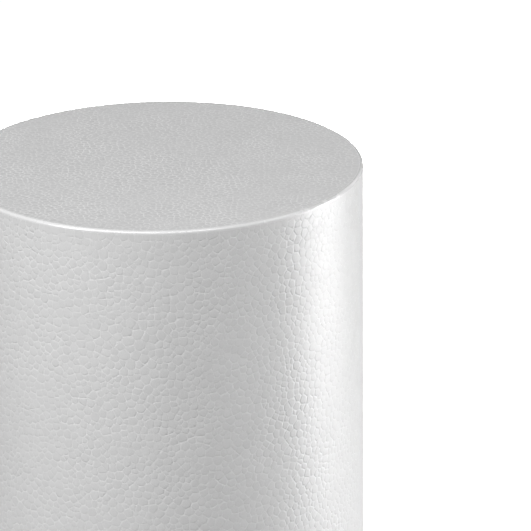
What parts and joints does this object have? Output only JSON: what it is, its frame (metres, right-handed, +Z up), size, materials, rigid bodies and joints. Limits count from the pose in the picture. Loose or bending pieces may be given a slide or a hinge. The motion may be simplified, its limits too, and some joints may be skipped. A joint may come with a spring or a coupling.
{
  "type": "foam roller",
  "caption": "Short full-round massage roller in firm white bead foam, a plain solid cylinder with softened rims, standing on one end.",
  "frame": {"origin": "middle of the lower end face, the one it stands on", "axes": "+Z up along the roller's axis; the roller is round, so +X and +Y are free choices"},
  "size_m": [0.15, 0.15, 0.3],
  "materials": {
    "bead_foam": "moulded bead foam, matte with a faint satin skin"
  },
  "bodies": {
    "root": {"foam_body": "bead_foam"}
  },
  "joints": []
}
